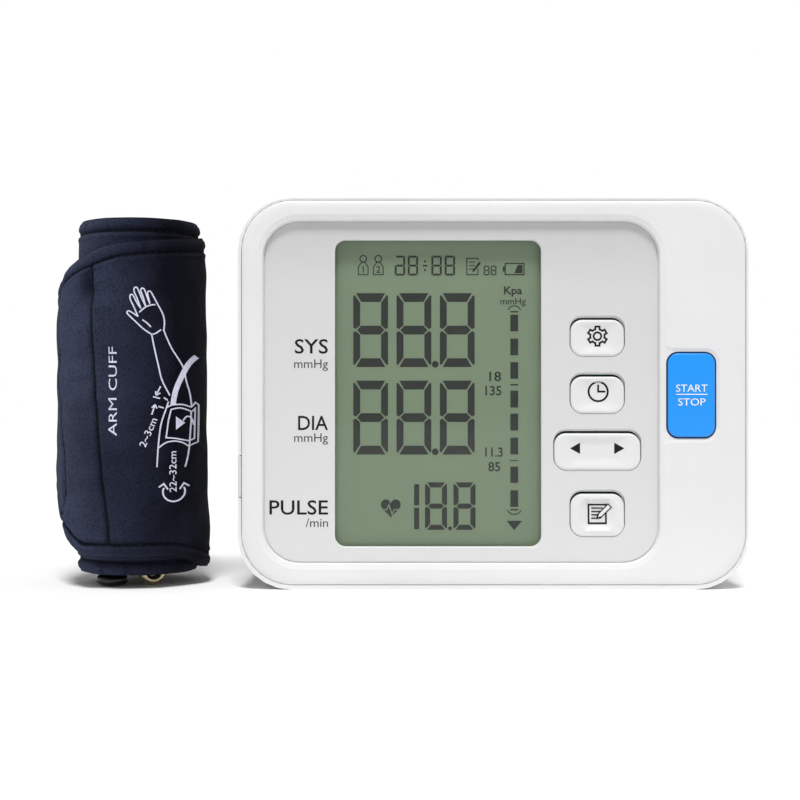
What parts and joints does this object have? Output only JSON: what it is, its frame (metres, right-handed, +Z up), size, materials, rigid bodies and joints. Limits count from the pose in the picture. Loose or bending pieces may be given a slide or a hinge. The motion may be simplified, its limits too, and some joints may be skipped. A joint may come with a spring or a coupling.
{
  "type": "upper arm blood pressure monitor",
  "caption": "Upright arm blood pressure monitor with large segment display, press keys, rear battery door and a rolled fabric arm cuff.",
  "frame": {"origin": "centre of the flat base face that the monitor stands on", "axes": "+X to the right seen from the display side, +Y from the display towards the back, +Z up"},
  "size_m": [0.2297, 0.0599, 0.128],
  "materials": {
    "casing_white": "fine matt moulded white plastic",
    "key_white": "satin white keys with black printed icons",
    "key_blue": "semi-gloss bright blue key with white lettering",
    "window_clear": "clear polished window",
    "lcd_glass": "grey-green reflective liquid crystal display with dark segments",
    "holder_white": "natural white moulded plastic",
    "connector_rubber": "matt grey-black rubber",
    "board_green": "green solder mask",
    "black_plastic": "black moulded plastic",
    "steel": "plated steel",
    "silicone": "translucent silicone tube",
    "battery_shell": "plain dark battery sleeve with a plated end",
    "cuff_cloth": "navy twill nylon with white printed fitting guide",
    "cuff_lining": "smooth navy nylon lining",
    "cuff_bladder": "grey welded bladder film",
    "cuff_hook": "black hook fastener",
    "ring_metal": "bright plated wire"
  },
  "bodies": {
    "casing": {"front_cover": "casing_white", "rear_cover": "casing_white", "display_window": "window_clear", "lcd_glass": "lcd_glass", "lcd_holder": "holder_white", "pressure_sensor": "holder_white", "air_manifold": "holder_white", "air_socket": "holder_white", "zebra_strip": "connector_rubber", "rubber_foot_1": "connector_rubber", "rubber_foot_2": "connector_rubber", "rubber_foot_3": "connector_rubber", "rubber_foot_4": "connector_rubber", "main_board": "board_green", "switch_settings": "black_plastic", "switch_clock": "black_plastic", "switch_left": "black_plastic", "switch_right": "black_plastic", "switch_memory": "black_plastic", "switch_start": "black_plastic", "processor_chip": "black_plastic", "buzzer": "black_plastic", "capacitor": "black_plastic", "pump_head": "black_plastic", "valve_body": "black_plastic", "leak_valve": "black_plastic", "power_jack": "black_plastic", "pump_motor": "steel", "casing_screw_1": "steel", "casing_screw_2": "steel", "casing_screw_3": "steel", "casing_screw_4": "steel", "battery_contact_1": "steel", "battery_contact_2": "steel", "battery_contact_3": "steel", "battery_contact_4": "steel", "battery_contact_5": "steel", "tube_socket": "silicone", "tube_pump": "silicone", "tube_valve": "silicone", "tube_sensor": "silicone", "battery_1": "battery_shell", "battery_2": "battery_shell", "battery_3": "battery_shell", "battery_4": "battery_shell"},
    "start_key": {"start_stop_button": "key_blue"},
    "settings_key": {"settings_button": "key_white"},
    "clock_key": {"clock_button": "key_white"},
    "arrow_key": {"arrow_rocker": "key_white"},
    "memory_key": {"memory_button": "key_white"},
    "door": {"battery_door": "casing_white"},
    "crank": {"pump_crank": "steel"},
    "plunger": {"valve_plunger": "steel"},
    "cuff": {"cuff_outer_cloth": "cuff_cloth", "cuff_inner_cloth": "cuff_lining", "cuff_bladder": "cuff_bladder", "cuff_hook_pad": "cuff_hook", "cuff_ring": "ring_metal", "cuff_elbow": "black_plastic"}
  },
  "joints": [
    {"name": "start_press", "type": "slide", "parent": "casing", "child": "start_key", "axis": [0, 1, 0], "range_m": [0, 0.0008], "stiffness_N_per_m": 1500},
    {"name": "settings_press", "type": "slide", "parent": "casing", "child": "settings_key", "axis": [0, 1, 0], "range_m": [0, 0.0008], "stiffness_N_per_m": 1500},
    {"name": "clock_press", "type": "slide", "parent": "casing", "child": "clock_key", "axis": [0, 1, 0], "range_m": [0, 0.0008], "stiffness_N_per_m": 1500},
    {"name": "memory_press", "type": "slide", "parent": "casing", "child": "memory_key", "axis": [0, 1, 0], "range_m": [0, 0.0008], "stiffness_N_per_m": 1500},
    {"name": "arrow_rock", "type": "hinge", "parent": "casing", "child": "arrow_key", "pos_m": [0.0341, -0.013, 0.0457], "axis": [0, 0, 1], "range_deg": [-2.5, 2.5], "stiffness_Nm_per_rad": 0.34},
    {"name": "door_hinge", "type": "hinge", "parent": "casing", "child": "door", "pos_m": [0.0145, 0.02202, 0.01416], "axis": [-1, 0, 0], "range_deg": [0, 85]},
    {"name": "pump_spin", "type": "hinge", "parent": "casing", "child": "crank", "pos_m": [-0.062, 0.0118, 0.07], "axis": [0, 0, 1], "continuous": true},
    {"name": "valve_stroke", "type": "slide", "parent": "casing", "child": "plunger", "axis": [0, 0, -1], "range_m": [0, 0.0012], "stiffness_N_per_m": 400, "springref_m": -0.001},
    {"name": "cuff_lift", "type": "slide", "parent": "casing", "child": "cuff", "axis": [0, 0, 1], "range_m": [0, 0.15]}
  ]
}
